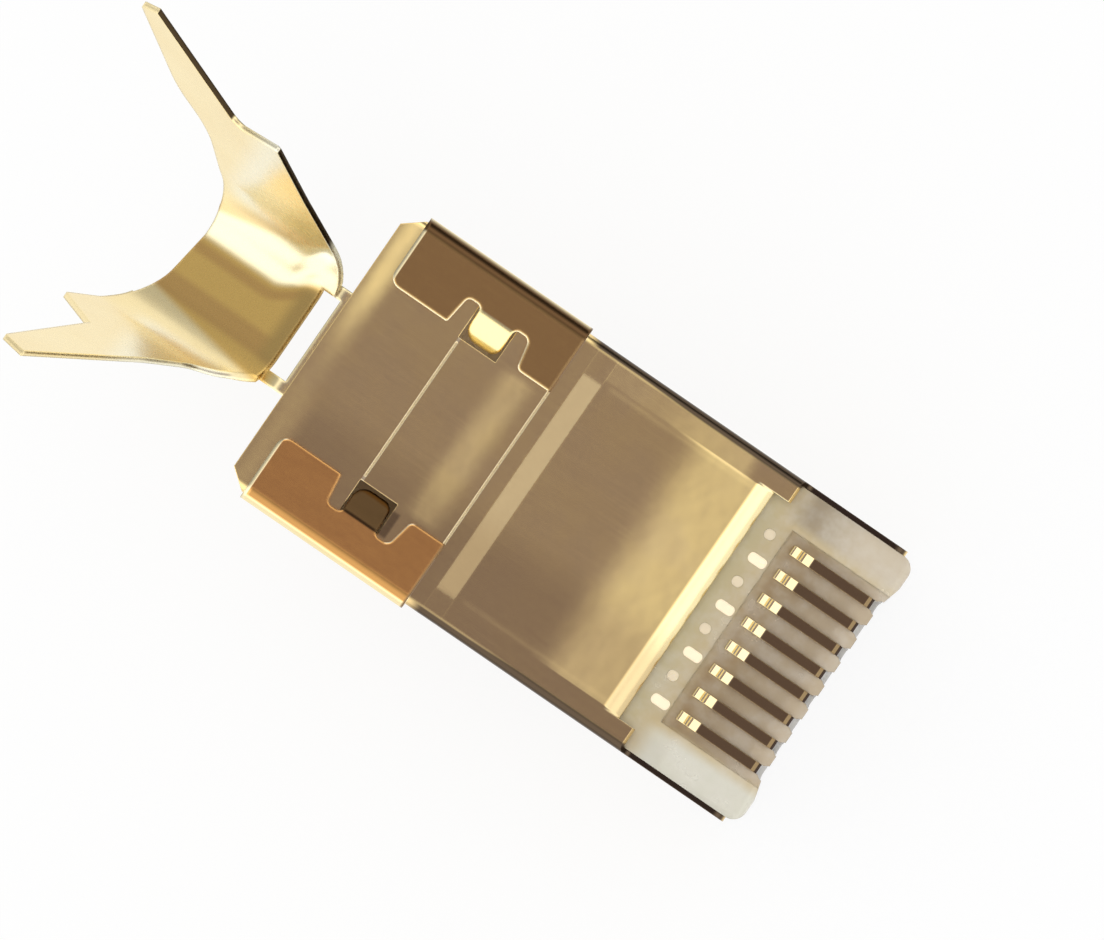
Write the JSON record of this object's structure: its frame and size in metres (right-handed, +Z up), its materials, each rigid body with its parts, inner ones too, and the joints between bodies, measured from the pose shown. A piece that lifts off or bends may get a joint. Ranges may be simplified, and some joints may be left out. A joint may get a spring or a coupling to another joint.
{
  "type": "rj45 modular plug",
  "caption": "Shielded modular plug with a clear housing, gold contacts, a folded sheet shell, a springy latch and a crimp-on cable clamp.",
  "frame": {"origin": "bottom centre of the box round the plug as it rests on a flat table, contact side up, on the lower edge of its nose and the tip of its latch", "axes": "+X towards the nose, level; +Z up. The plug's own long axis lies in the XZ plane and dips 19.75 degrees towards the nose; +Y is across the plug"},
  "size_m": [0.0332, 0.0132, 0.0148],
  "materials": {
    "clear_plastic": "clear, smooth",
    "clear_latch_plastic": "clear, smooth",
    "clear_bar_plastic": "clear, smooth",
    "contact_gold": "bright gold plate",
    "shield_gold": "thin gold plate, satin",
    "bracket_gold": "thin gold plate, satin"
  },
  "bodies": {
    "plug": {"housing": "clear_plastic", "load_bar": "clear_bar_plastic", "contact_1": "contact_gold", "contact_2": "contact_gold", "contact_3": "contact_gold", "contact_4": "contact_gold", "contact_5": "contact_gold", "contact_6": "contact_gold", "contact_7": "contact_gold", "contact_8": "contact_gold", "contact_side_shield": "shield_gold", "cable_bracket": "bracket_gold"},
    "latch": {"latch_lever": "clear_latch_plastic"}
  },
  "joints": [
    {"name": "latch_flex", "type": "hinge", "parent": "plug", "child": "latch", "pos_m": [0.01314, -0.0002, 0.00045], "axis": [0, 1, 0], "range_deg": [0, 10], "stiffness_Nm_per_rad": 0.24}
  ]
}
